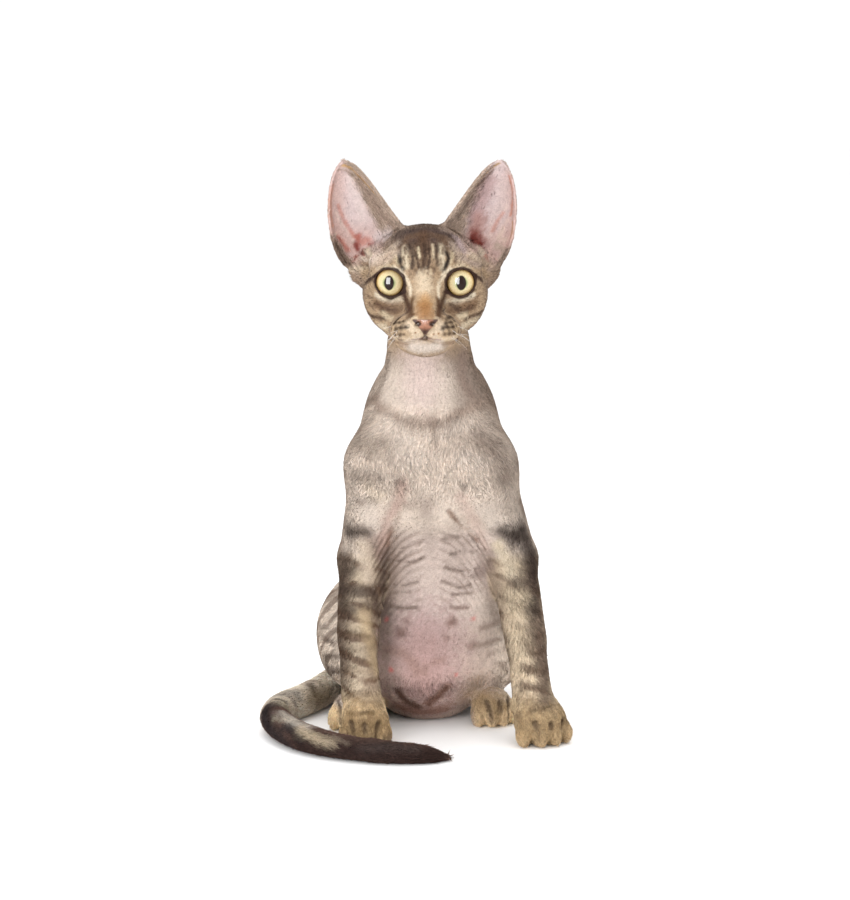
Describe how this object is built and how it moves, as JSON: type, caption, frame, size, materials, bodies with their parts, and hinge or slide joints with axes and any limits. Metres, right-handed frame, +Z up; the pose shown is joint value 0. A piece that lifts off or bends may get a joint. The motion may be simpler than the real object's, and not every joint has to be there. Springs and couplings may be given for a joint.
{
  "type": "devon rex cat",
  "caption": "Life-size still model of a short-coated cat sitting upright, with very large ears and a tail laid along the floor round its front feet.",
  "frame": {"origin": "on the floor, on the flat under the belly", "axes": "+Z up; the cat faces -Y and its own left is +X"},
  "size_m": [0.1724, 0.2053, 0.3136],
  "materials": {
    "coat": "short soft fur, matte",
    "bare_skin": "thin bare skin, satin",
    "nose_leather": "damp, satin",
    "eye": "wet, glossy"
  },
  "bodies": {
    "root": {"head": "coat", "ear_left": "bare_skin", "ear_right": "bare_skin", "eye_left": "eye", "eye_right": "eye", "neck": "coat", "torso": "coat", "shoulder_left": "coat", "shoulder_right": "coat", "forearm_left": "coat", "forearm_right": "coat", "haunch_left": "coat", "haunch_right": "coat", "hind_foot_left": "coat", "hind_foot_right": "coat", "tail_base": "coat", "tail_near": "coat", "tail_middle": "coat", "tail_far": "coat", "tail_tip": "coat"}
  },
  "joints": []
}
